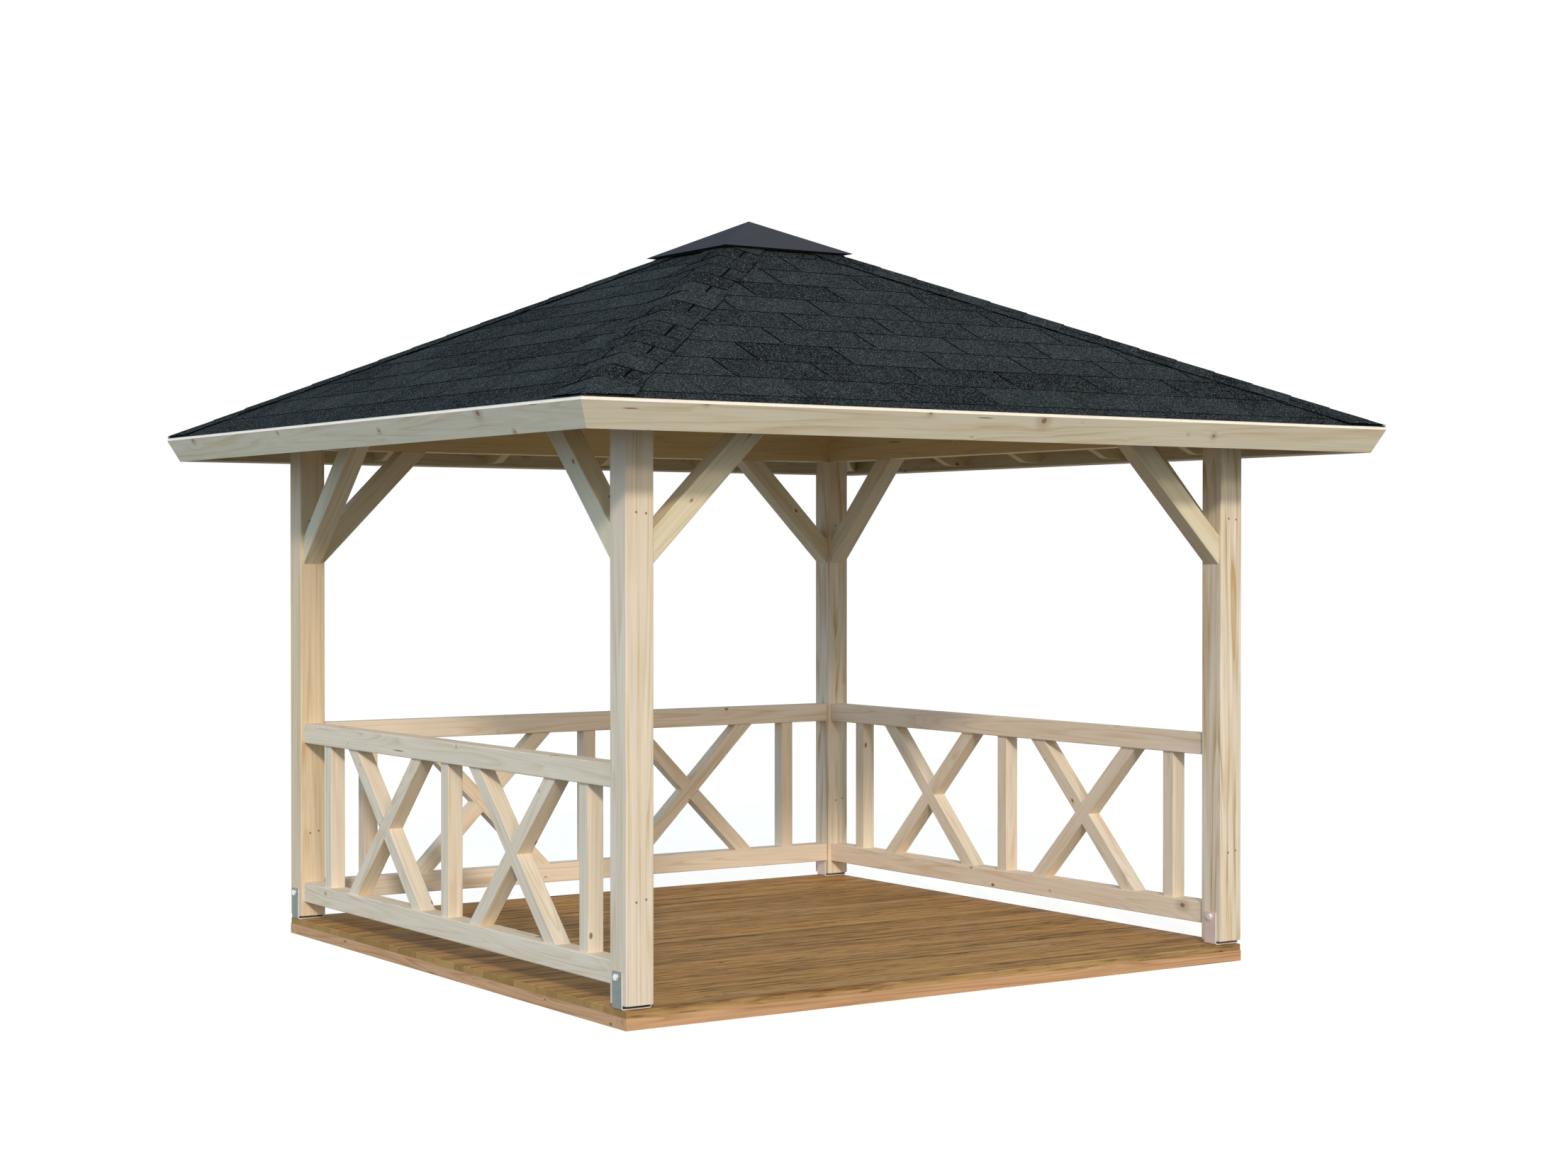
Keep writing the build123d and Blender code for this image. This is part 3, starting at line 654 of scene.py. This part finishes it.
def pin_knots(material, place):
    """Two pairs of pin knots beside the glue lines, 13 mm across."""
    x = add(material, "ShaderNodeSeparateXYZ", {0: place}).outputs[0]
    side = add(material, "ShaderNodeMath", {0: x}, operation="SIGN").outputs[0]
    across = add(material, "ShaderNodeMath", {0: side, 1: -post_axis, 2: x},
                 operation="MULTIPLY_ADD").outputs[0]
    z = add(material, "ShaderNodeSeparateXYZ", {0: place}).outputs[2]
    flat = add(material, "ShaderNodeCombineXYZ", {0: across, 1: z}).outputs[0]
    shown = None
    for knot_x, knot_z in pin_knot_places:
        away = add(material, "ShaderNodeVectorMath", {
            0: flat, 1: (knot_x, knot_z, 0.0)}, operation="DISTANCE").outputs["Value"]
        spot = add(material, "ShaderNodeMapRange", {
            0: away, 1: 0.0025, 2: 0.0065, 3: 0.9, 4: 0.0}).outputs[0]
        shown = spot if shown is None else add(material, "ShaderNodeMath", {
            0: shown, 1: spot}, operation="MAXIMUM").outputs[0]
    return shown


# Planed Nordic spruce: pale cream with straw coloured rings and brown knots.
# The back left post is more golden, and the right hand ones show heartwood.
knot_brown = "#7C5232"
spruce = ("#EBDDC6", "#CBA973", knot_brown)
golden_spruce = ("#E4D0B0", "#C5A06A", knot_brown)
for post, colours in (("post_front_left", spruce), ("post_back_left", golden_spruce)):
    finish_nodes(timber(f"planed spruce {post}", [ALONG_Z], *colours, stretch=0.025,
                        strength=0.6, knots=0.0, shift=lamella_shift, marks=pin_knots), post)
finish_nodes(timber("planed spruce post with heartwood", [ALONG_Z], *spruce, lines=8.0,
                    stretch=0.06, strength=1.15, knots=0.0, shift=lamella_shift, marks=pin_knots),
             "post_front_right", "post_back_right")


# Ring beams
# Four planed spruce beams lie on the posts and are halved over each other at
# the corners. They are of the same timber as the posts, with the grain level.
# Their more golden tone is painted warm bounce light, for the shade under the roof.
beam_spruce_shade_tint = ("#E3CD9E", "#C6A060", knot_brown)
finish_nodes(timber("planed spruce beam, along x", [ALONG_X], *beam_spruce_shade_tint, through=(1.0, 0.35)),
             "ring_beam_front", "ring_beam_back")
finish_nodes(timber("planed spruce beam, along y", [ALONG_Y], *beam_spruce_shade_tint, through=(0.35, 1.0)),
             "ring_beam_left", "ring_beam_right")


# Knee braces
# Two square braces at each post, cut at 45 degrees and screwed from below
# into the post and the beam. They are of a slightly yellower planed spruce.
finish_nodes(timber("planed spruce brace", [(-1, 0, 1), (0, -1, 1)],
                    "#E7DCBF", "#C7A66C", knot_brown, folded=True),
             *[f"knee_braces_{corner}" for corner in corners])


# Balustrades
# Square rails between the posts on three sides, with upright balusters and
# halved diagonal crosses between them, all screwed. The front stays open.
rail_spruce = {
    "left": spruce,
    # The back and right rails are a paler, pinker planed spruce.
    "back": ("#EEE1CE", "#CDAC78", knot_brown),
    "right": ("#F4E1C8", "#D1AE7C", knot_brown),
}
finish_nodes(timber("planed spruce rail, along x", [ALONG_X], *rail_spruce["back"],
                    stretch=0.05, through=(1.0, 0.35)),
             "top_rail_back", "bottom_rail_back")
# The knots that stand out in each side's rails: place, radius and length.
rail_knots = {
    "left": (((0, 1.18, 0.217), 0.006, 1.3), ((0, -0.13, 0.962), 0.004, 1.3)),
    "right": (((0, -1.281, 0.219), 0.014, 1.6), ((0, -0.373, 0.186), 0.004, 1.3)),
}
for side, places in rail_knots.items():
    finish_nodes(timber(f"planed spruce rail, {side}", [ALONG_Y], *rail_spruce[side],
                        stretch=0.05, through=(0.35, 1.0), places=places),
                 f"top_rail_{side}", f"bottom_rail_{side}")
finish_nodes(timber("planed spruce baluster", [ALONG_Z], *spruce),
             "balusters_left", "balusters_back", "balusters_right")
# A side's diagonals rise to the right as that side is seen from outside.
rise_along = {"left": (0, -1, 1), "back": (-1, 0, 1), "right": (0, 1, 1)}
for side, (x, y, z) in rise_along.items():
    finish_nodes(timber(f"planed spruce diagonal, rising, {side}", [(x, y, z)], *spruce,
                        stretch=0.06), f"diagonals_rising_{side}")
    finish_nodes(timber(f"planed spruce diagonal, falling, {side}", [(-x, -y, z)], *spruce,
                        stretch=0.06), f"diagonals_falling_{side}")


# Rafters
# Hip rafters run from the corners to a block at the peak, and jack rafters
# from the beams to the hips, with a notch over each beam and a level tail.
pitch = math.radians(25)
# Planed spruce, coloured yellower than the posts as painted warm bounce light in the shade of the
# roof.
rafter_spruce_shade_tint = ("#DCC89C", "#BE9D66", "#7A4E2C")
finish_nodes(timber("planed spruce jack rafter, front and back",
                    [(0, math.cos(pitch), -math.sin(pitch))], *rafter_spruce_shade_tint, folded=True),
             "jack_rafters_front", "jack_rafters_back")
finish_nodes(timber("planed spruce jack rafter, left and right",
                    [(math.cos(pitch), 0, -math.sin(pitch))], *rafter_spruce_shade_tint, folded=True),
             "jack_rafters_left", "jack_rafters_right")
finish_nodes(timber("planed spruce hip rafter",
                    [(math.cos(pitch), math.cos(pitch), -math.sin(pitch))],
                    *rafter_spruce_shade_tint, folded=True),
             *[f"hip_rafter_{corner}" for corner in corners])
finish_nodes(timber("planed spruce peak block", [ALONG_Z], *rafter_spruce_shade_tint), "peak_block")


# Roof boards
# Tongued and grooved spruce boards, V jointed on the face that shows between
# the rafters, nailed on parallel to the eaves and mitred along the hips.
board_rows, board_thickness, board_gap, board_v = 19, 0.019, 0.0006, 0.004
uncut_width = 4.0
# The boards' upper side meets the axis at peak_z, and they end behind the
# fascias. eave_run is half the roof's width.
peak_z, eave_run, fascia_thickness = 3.21479, 1.971, 0.020
fascia_back = eave_run / math.cos(pitch) - fascia_thickness
sides = {"front": 0, "right": 90, "back": 180, "left": 270}


def pitch_and_cut(piece, turn):
    """Lays a piece that was made flat on its slope, and cuts it at the hips."""
    piece.rotation_euler = (pitch, 0, 0)
    piece.location = (0, 0, peak_z)
    bpy.ops.object.select_all(action="DESELECT")
    piece.select_set(True)
    bpy.context.view_layer.objects.active = piece
    bpy.ops.object.transform_apply(location=True, rotation=True, scale=True)
    for normal in ((1, 1, 0), (-1, 1, 0)):
        bpy.ops.object.mode_set(mode="EDIT")
        bpy.ops.mesh.select_all(action="SELECT")
        bpy.ops.mesh.bisect(plane_co=(0, 0, 0), plane_no=normal, use_fill=True, clear_outer=True)
        bpy.ops.object.mode_set(mode="OBJECT")
    piece.rotation_euler = (0, 0, math.radians(turn))
    bpy.ops.object.transform_apply(location=True, rotation=True, scale=True)
    return piece


for side, turn in sides.items():
    step = fascia_back / board_rows
    bpy.ops.object.select_all(action="DESELECT")
    bpy.ops.mesh.primitive_cube_add(size=1, location=(0, 0, 0), scale=(
        uncut_width, step - board_gap, board_thickness))
    first_board = bpy.context.object
    bpy.ops.object.transform_apply(location=True, rotation=True, scale=True)
    edges_chosen(first_board, lambda p: p.z < 0)
    bpy.ops.mesh.bevel(offset=board_v, segments=1)
    bpy.ops.object.mode_set(mode="OBJECT")
    rows = [
        place_copy(first_board, (0, -step * (row + 0.5), -board_thickness / 2), chance.random())
        for row in range(board_rows)
    ]
    bpy.data.objects.remove(first_board)
    boards = pitch_and_cut(join_pieces(rows, f"roof_board_courses_{side}"), turn)
    eave = ALONG_X if side in ("front", "back") else ALONG_Y
    boards.data.materials.append(timber(
        f"planed spruce roof board, {side}", [eave], *rafter_spruce_shade_tint, shift=board_shift))
    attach(boards, "root")
    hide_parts(f"roof_boards_{side}")


# Fascias
# Planed spruce boards are nailed to the rafter tails, square to the roof, and
# mitred at the corners. Their upper arris is chamfered and painted near white as a highlight.
fascia_easing, fascia_chamfer = 0.001, 0.010
# Planed spruce, a little greyer than the posts, with wide rings and few knots.
fascia_spruce = ("#DCD3BC", "#C0A473", knot_brown)
# Knots and pitch pockets in each board: where they are along it, how high,
# their radius, and how many times longer than wide they are.
fascia_knots = {
    "front": ((-1.455, 2.288, 0.008, 1.3), (-0.462, 2.284, 0.007, 1.3), (0.091, 2.272, 0.016, 1.2),
              (0.994, 2.236, 0.008, 1.3), (-1.762, 2.262, 0.003, 14), (-0.198, 2.274, 0.003, 17)),
    "left": ((1.653, 2.276, 0.011, 1.3), (0.680, 2.274, 0.007, 1.2), (-0.303, 2.244, 0.008, 1.2),
             (-1.182, 2.274, 0.016, 1.2), (-1.405, 2.197, 0.007, 1.5), (-1.62, 2.285, 0.0025, 16)),
}
# The upper arris is all that lies above this height and this far out.
arris_z, arris_run = 2.29, 1.968
# Spruce with the grain along the corner's diagonal, painted near white as a painted highlight.
arris_painted_highlight = timber("painted highlight on spruce arris", [(1, 1, 0)], "#FFF6E6", "#F6E3C4", "#A67C52",
                      strength=0.4, knots=0.0)
for side in sides:
    crosswise = side in ("front", "back")
    mirrored = -1 if side in ("back", "right") else 1
    places = [
        ((mirrored * along, 0, up) if crosswise else (0, mirrored * along, up), radius, length)
        for along, up, radius, length in fascia_knots["front" if crosswise else "left"]
    ]
    spruce_board = timber(
        f"planed spruce fascia, {side}", [ALONG_X if crosswise else ALONG_Y], *fascia_spruce,
        lines=13.0, stretch=0.04, strength=0.6, knots=0.35,
        through=(1.0, 0.3) if crosswise else (0.3, 1.0), places=places)
    board = eased_copy(
        f"fascia_{side}", f"eased_fascia_{side}", fascia_easing, spruce_board,
        chamfer=fascia_chamfer,
        arris=lambda p: p.z > arris_z and max(abs(p.x), abs(p.y)) > arris_run)
    board.data.materials.append(arris_painted_highlight)
    # The outward chamfer faces take the painted highlight.
    for face in board.data.polygons:
        outward = face.center.xy.dot(face.normal.xy) > 0
        face.material_index = 1 if outward and 0.1 < face.normal.z < 0.8 else 0


# Shingles
# Strips of glass felt and bitumen with crushed slate pressed in, nailed on in
# courses. Slots cut each strip in tabs, and the tabs differ in tone.
slate = bare_material("bitumen shingle with slate granules")
where = add(slate, "ShaderNodeTexCoord").outputs["Object"]
own = add(slate, "ShaderNodeAttribute", attribute_name="own_number").outputs["Fac"]
# Granules: 1 to 2 mm in life, drawn 2.8 mm across so that they show.
grit = add(slate, "ShaderNodeTexVoronoi", {"Vector": where, "Scale": 360.0}).outputs
grain_tone = add(slate, "ShaderNodeSeparateColor", {0: grit["Color"]}).outputs[0]
clump = add(slate, "ShaderNodeTexNoise", {
    "Vector": where, "Scale": 75.0, "Detail": 3.0, "Roughness": 0.7}).outputs[0]
# Weather and wear: soft patches a hand or two wide, darker or greener.
patch = add(slate, "ShaderNodeTexNoise", {
    "Vector": where, "Scale": 5.0, "Detail": 3.0, "Roughness": 0.55}).outputs
own = add(slate, "ShaderNodeMath", {
    0: own, 1: 0.5, 2: patch[0]}, operation="MULTIPLY_ADD").outputs[0]
own = add(slate, "ShaderNodeMapRange", {0: own, 1: 0.5, 2: 1.0, 3: 0.0, 4: 1.0}).outputs[0]
tab_tint = add(slate, "ShaderNodeMix", {0: own, 6: linear("#181C1D"), 7: linear("#313737")},
               data_type="RGBA").outputs[2]
green = add(slate, "ShaderNodeSeparateColor", {0: patch[1]}).outputs[1]
green = add(slate, "ShaderNodeMapRange", {0: green, 1: 0.5, 2: 0.7, 3: 0.0, 4: 0.6}).outputs[0]
tab_tint = add(slate, "ShaderNodeMix", {0: green, 6: tab_tint, 7: linear("#262F2A")},
               data_type="RGBA").outputs[2]
light_grains = add(slate, "ShaderNodeMapRange", {
    0: grain_tone, 1: 0.74, 2: 1.0, 3: 0.0, 4: 0.75}).outputs[0]
tint = add(slate, "ShaderNodeMix", {0: light_grains, 6: tab_tint, 7: linear("#8E9495")},
           data_type="RGBA").outputs[2]
dark_grains = add(slate, "ShaderNodeMapRange", {
    0: clump, 1: 0.35, 2: 0.6, 3: 0.4, 4: 0.0}).outputs[0]
tint = add(slate, "ShaderNodeMix", {0: dark_grains, 6: tint, 7: linear("#101213")},
           data_type="RGBA").outputs[2]
relief = add(slate, "ShaderNodeMath", {0: grit["Distance"], 1: clump}, operation="ADD").outputs[0]
bump = add(slate, "ShaderNodeBump", {
    "Height": relief, "Strength": 0.6, "Distance": 0.0015}).outputs[0]
surface = add(slate, "ShaderNodeBsdfPrincipled", {
    "Base Color": tint, "Roughness": 0.95, "Specular IOR Level": 0.0, "Normal": bump})
add(slate, "ShaderNodeOutputMaterial", {"Surface": surface.outputs[0]})

# The cut edges show the black bitumen itself, without granules. The same near-black material also
# lies in the slots as painted shade.
bitumen_and_slot_shade = bare_material("bitumen edge and painted slot shade")
where = add(bitumen_and_slot_shade, "ShaderNodeTexCoord").outputs["Object"]
fray = add(bitumen_and_slot_shade, "ShaderNodeTexNoise", {
    "Vector": where, "Scale": 240.0, "Detail": 2.0}).outputs[0]
tint = add(bitumen_and_slot_shade, "ShaderNodeMix", {0: fray, 6: linear("#08090A"), 7: linear("#141718")},
           data_type="RGBA").outputs[2]
bump = add(bitumen_and_slot_shade, "ShaderNodeBump", {
    "Height": fray, "Strength": 0.5, "Distance": 0.001}).outputs[0]
surface = add(bitumen_and_slot_shade, "ShaderNodeBsdfPrincipled", {
    "Base Color": tint, "Roughness": 0.8, "Specular IOR Level": 0.0, "Normal": bump})
add(bitumen_and_slot_shade, "ShaderNodeOutputMaterial", {"Surface": surface.outputs[0]})


def shingle_faces(piece):
    """Granules on the broad faces of a strip, and black bitumen on its edges."""
    piece.data.materials.append(slate)
    piece.data.materials.append(bitumen_and_slot_shade)
    for face in piece.data.polygons:
        face.material_index = 0 if abs(face.normal.z) > 0.6 else 1


tab_width, slot_width, exposure, sheet = 0.445, 0.010, 0.1883, 0.0024
hidden_part, tab_rounding, tab_turn = 0.025, 0.006, 0.0025
under_peak_cap, past_hip = 0.30, 0.02
shingle_run, shingle_width = 1.965, 3.98
shingle_end = shingle_run / math.cos(pitch)
starter_top, starter_rounding, starter_tone = 1.85, 0.001, 0.35
# The near-black sheet under the courses is painted shade for their slots: its middle down the
# slope, its length and thickness.
slot_shade_middle, slot_shade_length, slot_shade_thickness = 1.1, 1.8, 0.0014
# The distance from the peak to the lowest course's edge, and where its slots
# and those of the next course fall, differ between the slopes.
lay = {
    "front": (2.107, -0.085, 0.150), "back": (2.107, -0.085, 0.150),
    "left": (2.003, 0.060, 0.285), "right": (2.003, 0.060, 0.285),
}
for side, turn in sides.items():
    first_edge, even_slot, odd_slot = lay[side]
    length = exposure + hidden_part
    tilt = math.asin(sheet / exposure)
    bpy.ops.object.select_all(action="DESELECT")
    bpy.ops.mesh.primitive_cube_add(size=1, location=(0, length / 2, sheet / 2), scale=(
        tab_width - slot_width, length, sheet))
    tab = bpy.context.object
    bpy.ops.object.transform_apply(location=True, rotation=True, scale=True)
    edges_chosen(tab, lambda p: p.y < 0.001, direction=ALONG_Z)
    bpy.ops.mesh.bevel(offset=tab_rounding, segments=2)
    bpy.ops.object.mode_set(mode="OBJECT")
    shingle_faces(tab)
    tab.rotation_euler = (-tilt, 0, 0)
    bpy.ops.object.transform_apply(location=True, rotation=True, scale=True)
    tabs = []
    course = 0
    while first_edge - exposure * course > under_peak_cap:
        edge_at = first_edge - exposure * course
        reach = edge_at * math.cos(pitch) + past_hip
        slot_at = even_slot if course % 2 == 0 else odd_slot
        left = math.floor((-reach - slot_at) / tab_width)
        right = math.ceil((reach - slot_at) / tab_width)
        for place in range(left, right):
            laid = place_copy(tab, (
                slot_at + tab_width * (place + 0.5), -edge_at, sheet), chance.random())
            laid.rotation_euler = (0, 0, chance.uniform(-tab_turn, tab_turn))
            tabs.append(laid)
        course += 1
    bpy.data.objects.remove(tab)
    # The starter strip lies under the lowest course, along the eave.
    bpy.ops.mesh.primitive_cube_add(
        size=1, location=(0, -(shingle_end + starter_top) / 2, sheet / 2),
        scale=(shingle_width, shingle_end - starter_top, sheet))
    starter = bpy.context.object
    bpy.ops.object.transform_apply(location=True, rotation=True, scale=True)
    edges_chosen(starter, lambda p: p.y < -starter_top - exposure)
    bpy.ops.mesh.bevel(offset=starter_rounding, segments=1)
    bpy.ops.object.mode_set(mode="OBJECT")
    shingle_faces(starter)
    number_faces(starter, starter_tone)
    # A near-black sheet under the courses shows in their slots as painted shade.
    bpy.ops.mesh.primitive_cube_add(
        size=1, location=(0, -slot_shade_middle, slot_shade_thickness / 2),
        scale=(shingle_width, slot_shade_length, slot_shade_thickness))
    felt = bpy.context.object
    felt.data.materials.append(bitumen_and_slot_shade)
    number_faces(felt, 0.0)
    courses = pitch_and_cut(join_pieces([*tabs, starter, felt], f"shingle_courses_{side}"), turn)
    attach(courses, "root")
    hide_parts(f"shingles_{side}")


# Hip caps
# Short pieces cut from the same strips are folded over each hip, from the
# corner up, each lapping the one below. Every second one shows a slot.
hip_fall = math.atan(math.tan(pitch) / math.sqrt(2))
wing_fall = math.acos(math.sqrt((1 + math.cos(pitch) ** 2) / 2))
cap_exposure, cap_wing, cap_hidden = 0.171, 0.155, 0.06
# The fold is a flat this far each way from the hip, rounded off at its sides.
fold_reach, fold_rounding, cap_rounding = 0.012, 0.010, 0.0015
# Some caps are cut a little narrower, and some have a slot between these reaches.
narrowing, slot_near, slot_far = 0.012, 0.076, 0.085
# The edges of the cap at the corner and of the next, measured down the hip.
corner_cap_edge, next_cap_edge, cap_count = 2.930, 2.848, 15
cap_wander, cap_rise = 0.004, 2.2 * sheet


def folded_cap(width, length):
    """A strip folded along its middle, one sheet thick, edge at the origin."""
    bpy.ops.object.select_all(action="DESELECT")
    bpy.ops.mesh.primitive_plane_add(size=1, location=(0, length / 2, 0))
    cap = bpy.context.object
    cap.scale = (2 * fold_reach, length, 1)
    bpy.ops.object.transform_apply(location=True, rotation=True, scale=True)
    reach = width - fold_reach
    for hand in (1, -1):
        edges_chosen(cap, lambda p: p.x * hand > fold_reach - 1e-4)
        bpy.ops.mesh.extrude_region_move(TRANSFORM_OT_translate={"value": (
            hand * reach * math.cos(wing_fall), 0, -reach * math.sin(wing_fall))})
    bpy.ops.object.mode_set(mode="OBJECT")
    edges_chosen(cap, lambda p: abs(abs(p.x) - fold_reach) < 1e-5, direction=ALONG_Y)
    bpy.ops.mesh.bevel(offset=fold_rounding, segments=3)
    bpy.ops.object.mode_set(mode="OBJECT")
    thick = cap.modifiers.new("thickness", "SOLIDIFY")
    thick.thickness = sheet
    thick.offset = 1
    bpy.ops.object.modifier_apply(modifier="thickness")
    outer = max(corner.co.x for corner in cap.data.vertices)
    edges_chosen(cap, lambda p: abs(p.x) > outer - 1e-5)
    bpy.ops.mesh.bevel(offset=cap_rounding, segments=1)
    bpy.ops.object.mode_set(mode="OBJECT")
    shingle_faces(cap)
    return cap


def wing_strip(width, length, thickness, reach, hand):
    """A flat strip on one wing of a cap, with its middle so far from the hip."""
    bpy.ops.mesh.primitive_cube_add(size=1, location=(0, 0, 0), scale=(width, length, thickness))
    strip = bpy.context.object
    bpy.ops.object.transform_apply(location=True, rotation=True, scale=True)
    strip.rotation_euler = (0, hand * wing_fall, 0)
    strip.location = (
        hand * (reach * math.cos(wing_fall) + thickness / 2 * math.sin(wing_fall)), length / 2,
        -(reach - fold_reach) * math.sin(wing_fall) + thickness / 2 * math.cos(wing_fall))
    bpy.ops.object.transform_apply(location=True, rotation=True, scale=True)
    return strip


for corner, (x_side, y_side) in corners.items():
    turn = math.atan2(x_side, -y_side)
    length = cap_exposure + cap_hidden
    tilt = math.asin(sheet / cap_exposure)
    whole = folded_cap(cap_wing, length)
    narrow = folded_cap(cap_wing - narrowing, length)
    inner = folded_cap(slot_near, length)
    bpy.ops.object.select_all(action="DESELECT")
    strips = []
    for hand in (1, -1):
        strip = wing_strip(cap_wing - slot_far, length, sheet, (cap_wing + slot_far) / 2, hand)
        shingle_faces(strip)
        # A near-black strip at the bottom of the slot is painted shade.
        slot = wing_strip(slot_width, length, sheet / 2, (slot_near + slot_far) / 2, hand)
        slot.data.materials.append(bitumen_and_slot_shade)
        strips += [strip, slot]
    slotted = join_pieces([inner, *strips], "slotted")
    caps = []
    edges_down = [corner_cap_edge] + [next_cap_edge - cap_exposure * i for i in range(cap_count)]
    for place, down in enumerate(edges_down):
        kind = slotted if place % 2 == 0 else (whole, narrow)[place // 2 % 2]
        twin = place_copy(kind, (0, 0, 0), chance.random())
        twin.rotation_euler = (-tilt, 0, 0)
        twin.location = (chance.uniform(-cap_wander, cap_wander), -down, cap_rise)
        caps.append(twin)
    bpy.data.objects.remove(whole)
    bpy.data.objects.remove(narrow)
    bpy.data.objects.remove(slotted)
    run = join_pieces(caps, f"hip_caps_{corner}")
    run.rotation_euler = (hip_fall, 0, 0)
    bpy.ops.object.transform_apply(location=True, rotation=True, scale=True)
    run.rotation_euler = (0, 0, turn)
    run.location = (0, 0, peak_z)
    bpy.ops.object.transform_apply(location=True, rotation=True, scale=True)
    # The lowest caps are trimmed along both eaves.
    for middle, normal in (((x_side * shingle_run, 0, 0), (x_side, 0, 0)),
                           ((0, y_side * shingle_run, 0), (0, y_side, 0))):
        bpy.ops.object.mode_set(mode="EDIT")
        bpy.ops.mesh.select_all(action="SELECT")
        bpy.ops.mesh.bisect(plane_co=middle, plane_no=normal, use_fill=True, clear_outer=True)
        bpy.ops.object.mode_set(mode="OBJECT")
    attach(run, "root")


# Peak cap
# A shallow pyramid of steel sheet, folded and powder coated dark grey, covers
# the peak. The coating is matt, and the folds at its hips are sharp.
paint = bare_material("powder coated steel sheet")
where = add(paint, "ShaderNodeTexCoord").outputs["Object"]
# Orange peel of the coating, about 3 mm, and broad dust over a hand's width.
peel = add(paint, "ShaderNodeTexNoise", {
    "Vector": where, "Scale": 330.0, "Detail": 2.0}).outputs[0]
dust = add(paint, "ShaderNodeTexNoise", {"Vector": where, "Scale": 9.0, "Detail": 4.0}).outputs[0]
tint = add(paint, "ShaderNodeMix", {0: dust, 6: linear("#46474B"), 7: linear("#4C4D51")},
           data_type="RGBA").outputs[2]
dull = add(paint, "ShaderNodeMapRange", {0: dust, 1: 0.3, 2: 0.7, 3: 0.62, 4: 0.75}).outputs[0]
bump = add(paint, "ShaderNodeBump", {
    "Height": peel, "Strength": 0.08, "Distance": 0.0005}).outputs[0]
surface = add(paint, "ShaderNodeBsdfPrincipled", {
    "Base Color": tint, "Roughness": dull, "Normal": bump,
    "IOR": 1.5, "Specular IOR Level": 0.0})
add(paint, "ShaderNodeOutputMaterial", {"Surface": surface.outputs[0]})
fold_easing = 0.0005
eased_copy("roof_cap", "folded_roof_cap", fold_easing, paint)
